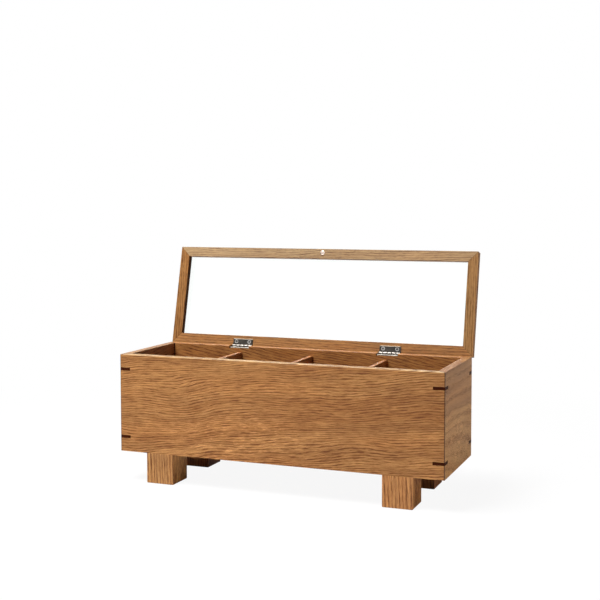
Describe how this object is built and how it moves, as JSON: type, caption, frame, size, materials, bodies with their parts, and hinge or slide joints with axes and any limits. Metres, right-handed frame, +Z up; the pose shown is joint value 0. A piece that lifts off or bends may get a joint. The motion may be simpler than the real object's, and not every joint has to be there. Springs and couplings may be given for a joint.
{
  "type": "tea organizer",
  "caption": "Footed rectangular wooden box with mitred, splined corners and an open top parted into compartments, under a glazed wooden lid that tips back on butt hinges",
  "frame": {"origin": "on the floor plane under the feet, midway over the length and over the whole depth of the organizer with its lid open", "axes": "+X along the length, towards the right seen from the front; +Y from the front towards the hinges; +Z up"},
  "size_m": [0.34, 0.1434, 0.2346],
  "materials": {
    "oak": "oiled, satin",
    "dark_wood": "oiled, satin",
    "glass": "clear, polished",
    "nickel": "nickel plated",
    "magnet": "nickel plated, polished"
  },
  "bodies": {
    "case": {"back_wall": "oak", "bottom_panel": "oak", "case_hinge_screws": "nickel", "divider_left": "oak", "divider_middle": "oak", "divider_right": "oak", "foot_back_left": "oak", "foot_back_right": "oak", "foot_front_left": "oak", "foot_front_right": "oak", "foot_tenons": "oak", "front_wall": "oak", "hinge_left_case_leaf": "nickel", "hinge_left_pin": "nickel", "hinge_right_case_leaf": "nickel", "hinge_right_pin": "nickel", "left_wall": "oak", "right_wall": "oak", "spline_back_left_lower": "dark_wood", "spline_back_left_upper": "dark_wood", "spline_back_right_lower": "dark_wood", "spline_back_right_upper": "dark_wood", "spline_front_left_lower": "dark_wood", "spline_front_left_upper": "dark_wood", "spline_front_right_lower": "dark_wood", "spline_front_right_upper": "dark_wood"},
    "lid": {"glass_pane": "glass", "hinge_left_lid_leaf": "nickel", "hinge_right_lid_leaf": "nickel", "lid_back_rail": "oak", "lid_front_rail": "oak", "lid_hinge_screws": "nickel", "lid_left_stile": "oak", "lid_magnet": "magnet", "lid_right_stile": "oak"}
  },
  "joints": [
    {"name": "lid_hinge", "type": "hinge", "parent": "case", "child": "lid", "pos_m": [0, 0.0371, 0.129], "axis": [1, 0, 0], "range_deg": [0, 103.3]}
  ]
}
